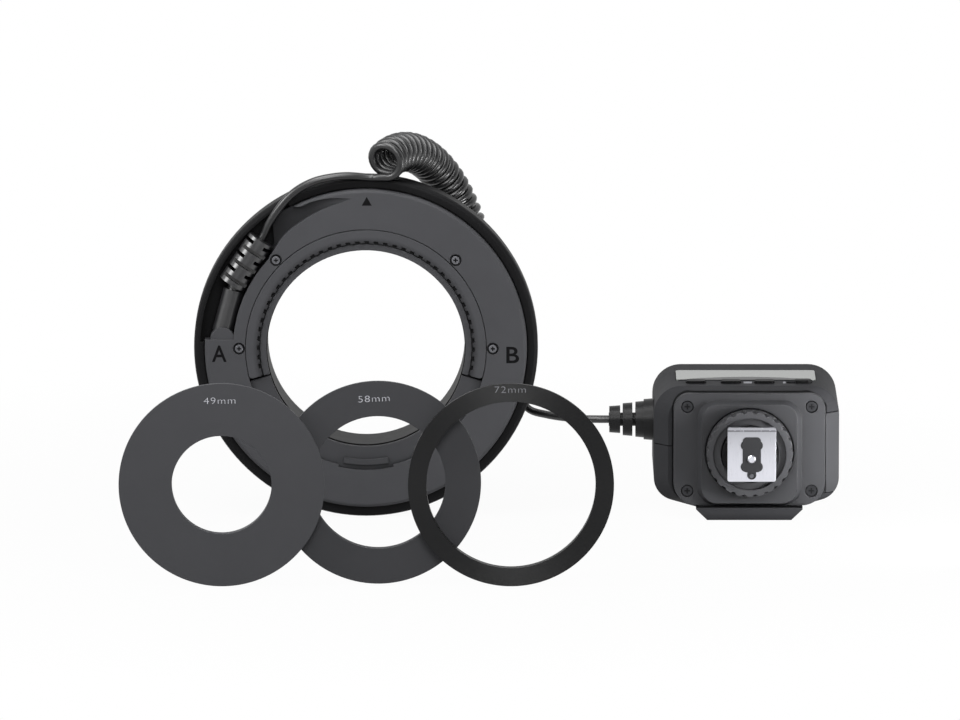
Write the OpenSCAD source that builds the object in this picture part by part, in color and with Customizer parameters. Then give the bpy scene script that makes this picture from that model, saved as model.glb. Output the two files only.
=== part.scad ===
// Macro ring flash: lamp head, curly cord, hot-shoe controller and three adapter rings.
// Shapes are drawn as the photographer sees them, x right, y up and z towards the viewer,
// and then turned upright. The origin is on the lens axis at the adapter seat.

/* [Head] */
// Radius of the black rim that the head stands on
rim_r = 66.2; // [62:0.1:75]
// Radius of the lens opening
opening_r = 38; // [34:0.1:40]
// Depth from the adapter seat to the front edge
head_depth = 22; // [20:0.5:34]
// Angle that the notched retainer plate spans
retainer_span = 210; // [190:1:220]
// Angle between two neighbouring notches
notch_step = 5; // [4:0.5:10]

/* [Adapter rings] */
// Thickness of an adapter ring's flange
ring_t = 1.3; // [1:0.1:1.6]
// Height of the thread collar behind the flange
collar_h = 2.6; // [2:0.1:4]
// Wall between the thread and the hole of the smallest ring
collar_wall = 5.8; // [3:0.1:8]
// Distance of the middle ring in front of the head
ring_ahead = 137; // [110:1:200]
// Step between the middle ring and its two neighbours
ring_step = 5.2; // [4.6:0.1:10]

/* [Cord] */
// Diameter of the cord
wire_d = 3; // [2.4:0.1:3.4]
// Mean radius of a curl
curl_r = 6.3; // [5:0.05:6.6]
// Number of curls
curls = 19; // [12:1:20]

/* [Controller] */
// Width of the controller
ctrl_w = 71.4; // [70:0.1:84]
// Height of the controller between its panel and its underside
ctrl_h = 44.9; // [44.5:0.1:50]
// Depth of the controller from the base plate to the far end
ctrl_d = 57; // [55:0.5:70]
// Wall thickness of the controller shells
shell_t = 2.2; // [1.8:0.1:2.4]
// Radius of the locking wheel
wheel_r = 16.6; // [15:0.1:17]
// Width of the hot-shoe foot
shoe_w = 18.6; // [18:0.1:19]
// Length of the hot-shoe foot
shoe_l = 21; // [20.6:0.1:22]
// Opening angle of the battery door, shown shut
door_turn = 0; // [0:1:90]

/* [Hidden] */
$fn = 72;

black = [0.07, 0.07, 0.08];
charcoal = [0.26, 0.26, 0.27];
silver = [0.8, 0.8, 0.82];
green = [0.1, 0.32, 0.18];
gap = 0.2;

// Levels through the head, measured from the adapter seat
rib_z = ring_t + 0.3;
plate_z = rib_z + 0.6;
face_z = plate_z + 1.8;
web_top = -1.8;
web_low = web_top - 1.6;
front_z = -head_depth;
board_top = -7.4;
board_low = board_top - 1.2;

// Radii of the head, from the opening outwards and from the rim inwards
ring_r = opening_r + 0.6;
tube_r = opening_r + 1.6;
pocket_r = ring_r + 0.5;
lip_r = opening_r + 0.3;
groove_r = opening_r + 2.7;
rib_r = opening_r + 7.4;
seam_r = opening_r + 8.2;
ledge_r = seam_r + 3.8;
screw_pcr = seam_r + 2.6;
cover_r = rim_r - 4.2;
wall_in = rim_r - 2.1;
spring_y = cover_r - 8;
retainer_a0 = 90 - retainer_span / 2;
retainer_a1 = 90 + retainer_span / 2;
screw_angles = [0, 45, 135, 180];
trough_a0 = 118;
trough_a1 = 178;

// Lane of the plug and the strain relief, between the cover screws and the rim
k = rim_r / 66.2;
screw_head_r = 1.9;
trough_r = screw_pcr + screw_head_r + 0.4;
trough_out = wall_in - 0.4;
relief_r = (trough_out - trough_r) / 2 - 0.9;
plug_r = relief_r - 1.4;
boss_r = plug_r + 0.7;
boss_y = 3.5 * k;
lane_r = trough_r + relief_r + 0.3;
trough_floor = -5.5;
cord_z = trough_floor + relief_r + 0.3;
plug_z = trough_floor + plug_r + 0.6;
function lane_point(r, a, z) = [r * cos(a), r * sin(a), z];
plug_from = lane_point(lane_r - 1.3, 173.8, plug_z);
plug_to = lane_point(lane_r - 1.3, 156.2, plug_z);
relief_from = lane_point(lane_r + 0.3, 154.3, cord_z);
relief_to = lane_point(lane_r + 1.3, 133.7, cord_z);

// Bent axis of the curly cord: a round arc that rises over the rim and drops behind the head
arc_mid = [23.55 * k, 68.3 * k, -27];
arc_out = [0.031, 0.826, -0.563];
arc_along = [0.485, -0.505, -0.714];
arc_r = 43.56;
arc_half = 48.55;
curl_start = -20;
curl_rings = 8;

// Controller frame: centre of its near face
ctrl_x = rim_r + 80.4;
ctrl_y = -rim_r + 28.45;
ctrl_z = 5;
near_x = 1;
shoulder_r = 11;
hip_r = 9;
hip_y = -13.5;
belly_x = 18.6;
belly_y = -25;
belly_r = 3;
taper_x = 5.4;
taper_y = 1.2;
taper_d = 6;
far_d = 3;
top_y = ctrl_h / 2;
top_in = top_y - shell_t;
side_in = ctrl_w / 2 - shell_t;
belly_in = belly_y + shell_t;
keel_y = -rim_r - ctrl_y;
plate_x = ctrl_w / 2 - taper_x - 1.1;
base_x = ctrl_w / 2 - 11.8;
base_head_r = 2;
base_up = top_y - 6.9;
base_down = -top_y + 5.1;
wheel_at = [near_x, -1.5];
shoe_at = [near_x + 0.6, -0.4];
tower_top = 5;
pedestal_r = wheel_r - 5.9;
shoe_z = 15;
pin_at = [shoe_at.x, shoe_at.y - 8.35];
button_z = -13;
button_y = top_in - 1.35;
button_xs = [-19.4, -5.9, 7] * ctrl_w / 71.4;
switch_x = 21.9 * ctrl_w / 71.4;
switch_travel = 3;
board_y = top_in - 7.05;
cell_r = 7.1;
cell_x1 = side_in - 1.6;
cell_x0 = cell_x1 - 50.5;
cell_ys = [-10.5, 4];
cell_zs = [-14, -28.7];
tray_y0 = -18.6;
tray_t = 0.7;
door_y0 = -18.8;
door_y1 = 12.5;
door_x0 = near_x + plate_x + 0.3;
hinge_x = side_in + 0.5;
hinge_z = 11.2 - ctrl_d;
barrel_r = 1.7;
barrel_y0 = -13;
barrel_y1 = 7;
boot_y = 5.9;
boot_z = -25;
boot_tip = -ctrl_w / 2 - 17.2;
cap_r = 5.6;
cap_y = -9;
cap_z = far_d - ctrl_d + 8.6;

function unit(v) = v / norm(v);
function bend(a, b, c, d, t) =
  0.5 * (2 * b + (c - a) * t + (2 * a - 5 * b + 4 * c - d) * t * t
  + (3 * b - a - 3 * c + d) * t * t * t);
function smooth(p, n) = concat(
  [for (i = [0:len(p) - 2]) for (j = [0:n - 1])
    bend(p[max(i - 1, 0)], p[i], p[i + 1], p[min(i + 2, len(p) - 1)], j / n)],
  [p[len(p) - 1]]);
function heading(p, i) = unit(p[min(i + 1, len(p) - 1)] - p[max(i - 1, 0)]);
function loop(c, t, side, r, n) = let (u = unit(side - t * (side * t)), v = cross(t, u))
  [for (j = [0:n - 1]) c + r * (cos(360 * j / n) * u + sin(360 * j / n) * v)];

// Points of the curly cord
function arc_axis(a) = arc_mid + arc_r * ((cos(a) - 1) * unit(arc_out) + sin(a) * unit(arc_along));
function arc_up(a) = unit(cos(a) * unit(arc_out) + sin(a) * unit(arc_along));
arc_side = unit(cross(unit(arc_along), unit(arc_out)));
function curl_out(i) = let (q = i / (curls * curl_rings), a = arc_half * (2 * q - 1),
  turn = curl_start + 360 * curls * q) sin(turn) * arc_side - cos(turn) * arc_up(a);
function curl_at(i) = arc_axis(arc_half * (2 * i / (curls * curl_rings) - 1)) + curl_r * curl_out(i);
curl_points = [for (i = [0:curls * curl_rings]) curl_at(i)];
curl_last = len(curl_points) - 1;
curl_in = unit(curl_at(0.05) - curl_at(-0.05));
curl_away = unit(curl_at(curl_last + 0.05) - curl_at(curl_last - 0.05));
curl_from = curl_points[0] - wire_d * curl_in;
curl_to = curl_points[curl_last] + wire_d * curl_away;

boot_in = [ctrl_x + boot_tip, ctrl_y + boot_y, ctrl_z + boot_z];
lead_points = concat([relief_to], [[-38.8, 44.6, 0.5], [-36.9, 49, 1.6], [-32, 56.3, 3.2],
  [-26.6, 61.6, 3.7], [-20.1, 65.1, 3.8], [-13.3, 66.7, 3.4], [-6.5, 67.1, 2.4]] * k,
  [curl_from - 3 * curl_in, curl_from]);
tail_points = concat([curl_to, curl_to + 2 * curl_away], [[41.5, 36, -33], [44.5, 30, -34],
  [48, 20, -36], [52.5, 4, -36.5], [55.8, -10, -35], [58, -20, -32.4]] * k,
  [for (d = [[-31.6, 3, -9], [-23.5, 0.8, -5], [-13, 0, -1.4], [-5, 0, -0.1], [0, 0, 0]])
  boot_in + d]);

// Turns the viewer's frame upright
module upright() {
  rotate([90, 0, 0])
    children();
}

// Places the controller's own frame
module at_controller() {
  upright()
    translate([ctrl_x, ctrl_y, ctrl_z])
      children();
}

// Ring-shaped band, or part of one, between two radii and two levels
module band(r0, r1, z0, z1, a0 = 0, a1 = 360) {
  rotate([0, 0, a0])
    rotate_extrude(angle = a1 - a0)
      translate([r0, z0])
        square([r1 - r0, z1 - z0]);
}

// Round rod between two points
module rod(from, to, r) {
  d = to - from;
  translate(from)
    rotate([0, 0, atan2(d.y, d.x)])
      rotate([0, acos(d.z / norm(d)), 0])
        cylinder(r = r, h = norm(d));
}

// Children placed along the plug or the strain relief, with z along it
module along(from, to) {
  d = to - from;
  translate(from)
    rotate([0, 0, atan2(d.y, d.x)])
      rotate([0, acos(d.z / norm(d)), 0])
        children();
}

// Cord swept along points
module cord(p, n, sides) {
  rows = [for (i = [0:len(p) - 1]) loop(p[i], heading(p, i), sides[i], wire_d / 2, n)];
  last = len(rows) - 1;
  polyhedron(
    [for (row = rows) for (q = row) q],
    concat(
      [[for (j = [0:n - 1]) j]],
      [for (i = [0:last - 1]) for (j = [0:n - 1])
        [i * n + j, (i + 1) * n + j, (i + 1) * n + (j + 1) % n, i * n + (j + 1) % n]],
      [[for (j = [n - 1:-1:0]) last * n + j]]),
    convexity = 10);
}

// Plain rectangle with round corners
module block2d(w, h, r) {
  square([w - 2 * r, h], center = true);
  square([w, h - 2 * r], center = true);
  for (x = [-1, 1], y = [-1, 1])
    translate([x * (w / 2 - r), y * (h / 2 - r)])
      circle(r);
}

// Upright block on the panel: block2d drawn in x and z, raised along y
module panel_block(x, z, w, d, y0, y1, r) {
  translate([x, y0, z])
    rotate([-90, 0, 0])
      linear_extrude(y1 - y0)
        block2d(w, d, r);
}

// Black housing with the rim, the web behind the cover and the trough for the plug
module lamp_housing() {
  color(black)
    upright() {
      difference() {
        rotate_extrude()
          polygon([[opening_r, front_z], [opening_r, 0], [pocket_r, 0], [pocket_r, rib_z],
            [rib_r, rib_z], [rib_r, web_top], [cover_r + 0.3, web_top], [cover_r + 0.3, 1],
            [rim_r - 1.5, 1], [rim_r - 0.44, 0.56], [rim_r, -0.5], [rim_r, front_z + 14],
            [rim_r - 0.5, front_z + 9.5], [rim_r - 1.8, front_z + 5.5],
            [rim_r - 3.6, front_z + 2.4], [rim_r - 5, front_z + 0.7], [rim_r - 6, front_z],
            [rim_r - 6.8, front_z], [rim_r - 6.8, front_z + 2.8],
            [rim_r - 8.6, front_z + 2.8], [rim_r - 8.6, front_z + 4],
            [rim_r - 5.6, front_z + 4], [rim_r - 4, front_z + 6.2],
            [rim_r - 2.6, front_z + 10], [wall_in, front_z + 14], [wall_in, web_low],
            [tube_r, web_low], [tube_r, front_z + 4], [tube_r + 1.6, front_z + 4],
            [tube_r + 1.6, front_z + 2.8], [tube_r, front_z + 2.8], [tube_r, front_z]]);
        band(trough_r, trough_out, web_low - 1, 2, trough_a0, trough_a1);
        for (a = screw_angles)
          rotate([0, 0, a])
            translate([screw_pcr, 0, web_low - 1])
              cylinder(r = 1.05, h = 4);
      }
      rotate([0, 0, trough_a0 - 0.7])
        rotate_extrude(angle = trough_a1 - trough_a0 + 1.4)
          polygon([[trough_r - 1.2, trough_floor - 1.4], [wall_in + 0.8, trough_floor - 1.4],
            [wall_in + 0.8, trough_floor], [trough_r - 0.1, trough_floor],
            [trough_r - 0.1, web_low + 0.4], [trough_r - 1.2, web_low + 0.4]]);
      for (a = [trough_a0 - 1.3, trough_a1 + 0.1])
        band(trough_r - 0.6, wall_in + 0.6, trough_floor - 0.9, web_low + 0.6, a, a + 1.2);
      for (a = [30, 210, 330])
        rotate([0, 0, a])
          translate([tube_r + 4, 0, board_top])
            cylinder(r = 2, h = web_low + 0.4 - board_top);
      for (x = [-16, 16])
        translate([x - 2.5, -spring_y - 2, web_top - 0.4])
          cube([5, 2, 4]);
    }
}

// Open part of the recess in the cover, where the plug and the strain relief lie
module plug_recess() {
  polygon(concat(
    [[-rim_r - 4, boss_y], [-sqrt(trough_r * trough_r - boss_y * boss_y), boss_y]],
    [for (a = [172:-5:137]) trough_r * [cos(a), sin(a)]],
    [[-35.2, 40.4] * k, [-36, 50] * k, [-35.5, rim_r + 4], [-rim_r - 4, rim_r + 4]]));
}

// Groove with a sloping floor, in which the recess runs out towards the arrow
module recess_tail() {
  tip = [-5.5, 58.4] * k;
  inner = smooth([[-36.4, 36.6] * k, [-31.2, 44.3] * k, [-23.5, 50.4] * k, [-16.7, 54.2] * k, tip], 4);
  outer = smooth([tip, [-13.3, 58.6] * k, [-20.1, 57.4] * k, [-26, 55.2] * k, [-31, 56.5] * k], 4);
  intersection() {
    translate([0, 0, web_top - 1])
      linear_extrude(face_z - web_top + 2)
        polygon(concat(inner, [for (i = [1:len(outer) - 1]) outer[i]], [[-44, 48] * k]));
    translate([tip.x, tip.y, face_z])
      rotate([0, -8, 31])
        translate([-60, -30, 0])
          cube([80, 60, 20]);
  }
}

// Grey back cover
module back_cover() {
  color(charcoal)
    upright()
      difference() {
        union() {
          difference() {
            union() {
              rotate_extrude()
                polygon([[seam_r + 0.2, plate_z], [cover_r - 1.8, plate_z],
                  [cover_r - 1.8, web_top], [cover_r, web_top], [cover_r, face_z - 1],
                  [cover_r - 0.4, face_z - 0.3], [cover_r - 1.2, face_z],
                  [seam_r + 0.2, face_z]]);
              rotate([0, 0, retainer_a0])
                rotate_extrude(angle = retainer_span)
                  polygon([[lip_r, rib_z], [ledge_r, rib_z], [ledge_r, plate_z + 0.3],
                    [seam_r + 0.4, plate_z + 0.3], [seam_r + 0.4, plate_z], [groove_r, plate_z],
                    [groove_r, face_z - 0.6], [lip_r, face_z - 0.6]]);
              band(trough_r - 1, cover_r - 1, web_top, plate_z + 0.3, 92, 135);
            }
            band(seam_r, ledge_r + 0.3, plate_z - 1, face_z - 0.75, retainer_a1 + 0.4, retainer_a0 + 359.6);
            band(seam_r, seam_r + 1.2, plate_z - 1, face_z + 1, 257, 283);
            translate([0, 0, web_top - 1])
              linear_extrude(face_z - web_top + 2)
                plug_recess();
            recess_tail();
          }
          for (a = screw_angles)
            rotate([0, 0, a])
              translate([screw_pcr, 0, web_top])
                cylinder(r = 2, h = plate_z - web_top + 0.4);
          intersection() {
            translate([plug_from.x, boss_y, web_top + 0.1])
              cylinder(r = boss_r, h = face_z - web_top - 0.4);
            translate([-rim_r, boss_y - 0.7, -6])
              cube([rim_r, 20, 20]);
            translate([0, 0, -6])
              cylinder(r = cover_r, h = 20);
          }
        }
        for (a = screw_angles)
          rotate([0, 0, a])
            translate([screw_pcr, 0, 0]) {
              translate([0, 0, web_top - 1])
                cylinder(r = 1.05, h = 8);
              translate([0, 0, face_z - 0.9])
                cylinder(r = screw_head_r + 0.4, h = 2);
            }
        rod(plug_from, plug_to, plug_r);
      }
}

// C-shaped plate with a row of notches along its inner edge
module retainer_plate() {
  inset = 1.2;
  r0 = groove_r + 0.3;
  turn = asin(inset / (r0 + inset));
  color(charcoal)
    upright() {
      difference() {
        union() {
          band(r0, seam_r, plate_z, face_z, retainer_a0 + turn, retainer_a1 - turn);
          for (r = [r0 + inset, seam_r - inset])
            for (a = [retainer_a0 + turn, retainer_a1 - turn])
              rotate([0, 0, a])
                translate([r, 0, plate_z])
                  cylinder(r = inset, h = face_z - plate_z);
          band(r0 + inset, seam_r - inset, plate_z, face_z, retainer_a0 + 0.1, retainer_a1 - 0.1);
        }
        for (a = [retainer_a0 + notch_step / 2 + 2:notch_step:retainer_a1 - 4])
          rotate([0, 0, a])
            translate([r0 - 1, -0.9, plate_z - 1])
              cube([1.9, 1.8, 5]);
      }
    }
}

// Sliding latch that holds the lower edge of an adapter ring
module release_latch() {
  a0 = retainer_a1 + 1;
  a1 = retainer_a0 + 359;
  low = rib_z + gap;
  color(charcoal)
    upright() {
      band(lip_r, seam_r + 1.4, low, low + 1.2, a0, a1);
      band(seam_r - 2.9, seam_r - 0.7, low + 1.1, face_z - 0.1, 258.8, 281.2);
      for (x = [-16, 16])
        translate([x - 2.5, -seam_r + 0.6, web_top + 0.4])
          cube([5, 1.8, low - web_top - 0.2]);
    }
}

// Two springs between the latch and the housing
module latch_springs() {
  color(silver)
    upright()
      for (x = [-16, 16])
        translate([x, -spring_y, 0.1])
          rotate([-90, 0, 0])
            difference() {
              cylinder(r = 1.4, h = spring_y - seam_r + 0.55);
              translate([0, 0, -1])
                cylinder(r = 0.9, h = spring_y);
            }
}

// Four screws through the cover
module cover_screws() {
  color(silver)
    upright()
      for (a = screw_angles)
        rotate([0, 0, a])
          translate([screw_pcr, 0, 0]) {
            translate([0, 0, web_low - 1.4])
              cylinder(r = 1, h = face_z - web_low + 0.6);
            translate([0, 0, face_z - 0.9])
              cylinder(r1 = screw_head_r, r2 = screw_head_r - 0.4, h = 1);
          }
}

// Front window with round ribs
module front_diffuser() {
  r0 = tube_r + 0.3;
  r1 = rim_r - 7;
  ribs = 9;
  step = (r1 - r0) / ribs;
  color([0.95, 0.95, 0.93])
    upright()
      rotate_extrude()
        polygon(concat([[r0, front_z + 2.8]], [for (i = [0:ribs - 1]) for (q = [0, 1])
          [r0 + step * (i + 0.5 * q), front_z + 1.1 - 0.5 * q]],
          [[r1, front_z + 1.1], [r1, front_z + 2.8]]));
}

// Bright channel behind one half of the window
module reflector(a0) {
  r0 = tube_r + 2;
  r1 = rim_r - 8.8;
  color(silver)
    upright()
      rotate([0, 0, a0])
        rotate_extrude(angle = 166)
          polygon([[r0, front_z + 4.2], [r0 + 0.8, front_z + 4.2], [r0 + 2.2, board_low - 0.8],
            [r1 - 2.2, board_low - 0.8], [r1 - 0.8, front_z + 4.2], [r1, front_z + 4.2],
            [r1 - 1.4, board_low], [r0 + 1.4, board_low]]);
}

// Reflector on the left
module reflector_a() {
  reflector(97);
}

// Reflector on the right
module reflector_b() {
  reflector(-83);
}

// Curved flash tube of one half
module flash_tube(a0) {
  color([0.9, 0.93, 0.95])
    upright()
      rotate([0, 0, a0])
        rotate_extrude(angle = 140)
          translate([(tube_r + rim_r - 6.8) / 2, board_low - 4.9])
            circle(2.2);
}

// Flash tube on the left
module flash_tube_a() {
  flash_tube(110);
}

// Flash tube on the right
module flash_tube_b() {
  flash_tube(-70);
}

// Four rubber ends that carry the flash tubes
module tube_holders() {
  r = (tube_r + rim_r - 6.8) / 2;
  color(black)
    upright()
      for (a = [106, 250, -74, 70])
        rotate([0, 0, a])
          rotate_extrude(angle = 4) {
            translate([r, board_low - 4.9])
              circle(3);
            translate([r - 1.5, board_low - 4.9])
              square([3, 4.1]);
          }
}

// Two trigger coils between the reflectors
module trigger_coils() {
  r = (tube_r + rim_r - 6.8) / 2;
  color([0.55, 0.3, 0.12])
    upright()
      for (y = [-r, r])
        translate([0, y, board_low - 6])
          cylinder(r = 3.2, h = 6);
}

// Ring-shaped circuit board
module head_board() {
  color(green)
    upright()
      band(tube_r + 1, rim_r - 3.6, board_low, board_top);
}

// Plug seated in the cover's round boss
module cord_plug() {
  color(black)
    upright()
      rod(plug_from, plug_to, plug_r);
}

// Slotted strain relief with a short neck towards the plug
module head_strain_relief() {
  run = norm(relief_to - relief_from);
  slots = 6;
  pitch = run / (slots + 0.4);
  color(black)
    upright() {
      rod(plug_to, plug_to + 2.9 * unit(plug_to - plug_from), 2.4);
      along(relief_from, relief_to)
        difference() {
          cylinder(r = relief_r, h = run);
          for (i = [0:slots - 1])
            translate([0, 0, pitch * (i + 0.55)])
              for (side = [-1, 1])
                rotate([0, 0, i % 2 == 0 ? 0 : 90])
                  translate([side * (relief_r + 2.2) - relief_r, -8, 0])
                    cube([2 * relief_r, 16, 1.4]);
        }
    }
}

// Lead from the strain relief over the rim
module lead_cord() {
  p = concat(smooth([for (i = [0:len(lead_points) - 2]) lead_points[i]], 4), [curl_from]);
  color(black)
    upright()
      cord(p, 8, [for (q = p) [0, 0, 1]]);
}

// Curly cord
module curly_cord() {
  sides = [for (i = [0:curl_last]) curl_out(i)];
  color(black)
    upright()
      cord(concat([curl_from], curl_points, [curl_to]), 6,
        concat([sides[0]], sides, [sides[curl_last]]));
}

// Tail from the curls to the controller
module tail_cord() {
  p = concat([curl_to], smooth([for (i = [1:len(tail_points) - 1]) tail_points[i]], 4));
  color(black)
    upright()
      cord(p, 8, [for (q = p) [0, 0, 1]]);
}

// Stepped rubber boot where the cord enters the controller
module cable_boot() {
  wall_x = -ctrl_w / 2;
  color(black)
    at_controller()
      translate([0, boot_y, boot_z])
        rotate([0, 90, 0]) {
          translate([0, 0, boot_tip])
            cylinder(r = 2.6, h = wall_x + shell_t + 0.4 - boot_tip);
          for (fin = [[-17, 4.2, 5.4], [-11.8, 3.7, 6.5], [-6.9, 3.4, 7.1], [-3.7, 3.7, 8.1]])
            translate([0, 0, wall_x + fin[0]])
              cylinder(r1 = fin[2] - 0.3, r2 = fin[2], h = fin[1]);
          translate([0, 0, wall_x + shell_t])
            cylinder(r = 5, h = 1);
        }
}

// Corner posts of the controller's outline between two levels: shoulders, hips and belly
module outline_posts(z0, z1, inset, draw_x, draw_y) {
  for (s = [-1, 1]) {
    translate([s * (ctrl_w / 2 - shoulder_r - draw_x), top_y - shoulder_r - draw_y, z0])
      cylinder(r = shoulder_r - inset, h = z1 - z0, $fn = 48);
    translate([s * (ctrl_w / 2 - hip_r - draw_x), hip_y + draw_y, z0])
      cylinder(r = hip_r - inset, h = z1 - z0, $fn = 48);
    translate([s * (belly_x - draw_x), belly_y + belly_r + draw_y, z0])
      cylinder(r = belly_r - inset, h = z1 - z0, $fn = 24);
  }
}

// Solid outline of the controller, drawn in by an inset
module body_solid(inset) {
  edge = 0.4;
  hull() {
    outline_posts(-inset - edge, -inset, inset, taper_x, taper_y);
    outline_posts(far_d - ctrl_d, -taper_d, inset, 0, 0);
    outline_posts(inset - ctrl_d, inset - ctrl_d + edge, inset, far_d, far_d);
  }
}

// Hollow wall of the controller
module body_wall() {
  difference() {
    body_solid(0);
    body_solid(shell_t);
  }
}

// Opening for the battery door in the side wall
module door_opening() {
  translate([side_in - 12, door_y0 - 0.3, hinge_z - 2.4])
    cube([20, door_y1 - door_y0 + 0.6, -hinge_z]);
  translate([door_x0 - 0.3, door_y0 - 0.3, -2.5])
    cube([20, door_y1 - door_y0 + 0.6, 5]);
}

// Holes that both shells share
module shell_holes() {
  door_opening();
  for (x = [near_x - base_x, near_x + base_x], y = [base_up, base_down])
    translate([x, y, -7])
      cylinder(r = 1.3, h = 8);
  translate([wheel_at.x, wheel_at.y, -5])
    cylinder(r = 8, h = 8);
}

// Block at the far edge of the door opening that carries the hinge pin
module hinge_block(y0) {
  difference() {
    translate([hinge_x - 2, y0, hinge_z - 3.4])
      cube([3.2, 3.2, 5]);
    translate([hinge_x, y0 - 1, hinge_z])
      rotate([-90, 0, 0])
        cylinder(r = 0.8, h = 6);
  }
}

// Upper shell with the panel on top
module upper_shell() {
  color(charcoal)
    at_controller() {
      hinge_block(barrel_y1 + 0.3);
      difference() {
        union() {
          intersection() {
            body_wall();
            translate([-60, 0, -90])
              cube([120, 60, 120]);
          }
          for (x = [near_x - base_x, near_x + base_x])
            translate([x, base_up, -6])
              cylinder(r = 3, h = 5);
          for (x = [-28, 28], z = [-40, -50])
            panel_block(x, z, 4, 4, board_y + 1.4, top_in + 0.5, 1.9);
        }
        shell_holes();
        panel_block(0, -28.05, 54.1, 21.4, top_y - 0.5, top_y + 1, 2);
        panel_block(0, -28.05, 42, 16, top_in - 1, top_y + 1, 1);
        for (x = button_xs)
          panel_block(x, button_z, 7.8, 5.1, top_in - 1, top_y + 1, 1.3);
        panel_block(switch_x - switch_travel / 2, button_z, 6.6 + switch_travel, 4.6,
          top_in - 1, top_y + 1, 1.3);
        translate([-ctrl_w / 2 - 1, boot_y, boot_z])
          rotate([0, 90, 0])
            cylinder(r = 2.7, h = shell_t + 2);
      }
    }
}

// Lower shell with the keel that the controller stands on
module lower_shell() {
  color(charcoal)
    at_controller() {
      hinge_block(barrel_y0 - 3.5);
      difference() {
        union() {
          intersection() {
            body_wall();
            translate([-60, -60, -90])
              cube([120, 60, 120]);
          }
          for (x = [near_x - base_x, near_x + base_x])
            translate([x, base_down, -6])
              cylinder(r = 3, h = 5);
          for (x = [-12, 18])
            translate([x, belly_in - 0.4, -34])
              cube([2, tray_y0 - belly_in + 0.4, 24]);
          for (x = [-18, 2])
            translate([x, belly_in - 0.4, cap_z - 4])
              cube([2, cap_y - belly_in, 8]);
          hull() {
            translate([near_x - 20.5, belly_y + 0.8, -48])
              cube([41, 1, 52]);
            translate([near_x - 16.2, keel_y, -45])
              cube([32.4, 0.5, 48.4]);
          }
        }
        shell_holes();
        translate([-30, cap_y, cap_z])
          rotate([0, 90, 0])
            cylinder(r = cap_r + 0.1, h = 60);
      }
    }
}

// Base plate with the raised block round the wheel
module base_plate() {
  color(charcoal)
    at_controller()
      difference() {
        union() {
          hull()
            for (s = [-1, 1]) {
              translate([near_x + s * (plate_x - 6), top_y - 7.6, 0])
                cylinder(r = 6, h = 1.8);
              translate([near_x + s * (plate_x - 9), belly_y + 11, 0])
                cylinder(r = 9, h = 1.8);
            }
          translate([near_x, -2.35, 1.6]) {
            hull() {
              linear_extrude(0.1)
                block2d(40.4, 40.9, 7.5);
              translate([0, 0, tower_top - 1.7])
                linear_extrude(0.1)
                  block2d(36.8, 38.6, 6);
            }
          }
        }
        translate([wheel_at.x, wheel_at.y, 3])
          cylinder(r = wheel_r + 0.6, h = 4);
        for (x = [near_x - base_x, near_x + base_x], y = [base_up, base_down])
          translate([x, y, 0]) {
            translate([0, 0, -1])
              cylinder(r = 1.4, h = 4);
            translate([0, 0, 0.7])
              cylinder(r = base_head_r + 0.4, h = 4);
          }
      }
}

// Four screws through the base plate
module base_screws() {
  color(black)
    at_controller()
      for (x = [near_x - base_x, near_x + base_x], y = [base_up, base_down])
        translate([x, y, 0]) {
          translate([0, 0, -5.6])
            cylinder(r = 1.2, h = 6.8);
          translate([0, 0, 0.7])
            cylinder(r = base_head_r, h = 0.7);
        }
}

// Locking wheel with a raised edge and grip notches
module lock_wheel() {
  grips = 24;
  color(charcoal)
    at_controller()
      translate([wheel_at.x, wheel_at.y, 0])
        difference() {
          union() {
            band(pedestal_r + 0.4, wheel_r, 3.4, 8.6);
            band(wheel_r - 2.6, wheel_r, 8.4, 10.4);
          }
          for (i = [0:grips - 1])
            rotate([0, 0, (i + 0.5) * 360 / grips])
              translate([wheel_r + 0.5, 0, 5.6])
                cylinder(r = 1.2, h = 6);
        }
}

// Pedestal between the base plate and the foot
module foot_neck() {
  color(black)
    at_controller()
      difference() {
        union() {
          translate([wheel_at.x, wheel_at.y, 3])
            cylinder(r = pedestal_r, h = 10);
          translate([shoe_at.x, shoe_at.y, 12])
            cylinder(r = 7, h = shoe_z - 12);
        }
        translate([pin_at.x, pin_at.y, 5])
          cylinder(r = 1, h = 12);
      }
}

// Keyhole outline of the insert in the foot
module insert2d() {
  block2d(7, 13.6, 1.5);
  for (x = [-1, 1], y = [-4.7, 3.6])
    translate([x * 2.3, y])
      circle(1.95);
  translate([-1.7, -8])
    square([3.4, 3]);
  translate([0, -7.9])
    circle(1.75);
}

// Bright metal foot
module shoe_foot() {
  color(silver)
    at_controller()
      translate([shoe_at.x, shoe_at.y, shoe_z])
        difference() {
          linear_extrude(2)
            block2d(shoe_w, shoe_l, 0.8);
          translate([0, 0, -1])
            linear_extrude(4)
              insert2d();
        }
}

// Dark insert that carries the contact
module contact_insert() {
  color(charcoal)
    at_controller()
      difference() {
        translate([shoe_at.x, shoe_at.y, shoe_z])
          linear_extrude(2.15)
            insert2d();
        translate([pin_at.x, pin_at.y, shoe_z - 1])
          cylinder(r = 1, h = 5);
      }
}

// Centre contact
module centre_contact() {
  color(silver)
    at_controller()
      translate([shoe_at.x, shoe_at.y - 1.8, shoe_z + 2.15])
        cylinder(r1 = 1.7, r2 = 1.2, h = 0.6);
}

// Pin that the wheel drives out of the foot
module lock_pin() {
  color(silver)
    at_controller()
      translate([pin_at.x, pin_at.y, 7])
        cylinder(r = 0.8, h = shoe_z - 7 + 2);
}

// Glossy window over the display
module panel_window() {
  color([0.6, 0.62, 0.6])
    at_controller()
      panel_block(0, -28.05, 53.8, 21.1, top_y - 0.5, top_y + 0.3, 1.85);
}

// Display
module lcd_module() {
  color([0.5, 0.55, 0.45])
    at_controller()
      panel_block(0, -28.05, 46, 18, board_y + 1.4, top_in, 1);
}

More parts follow.
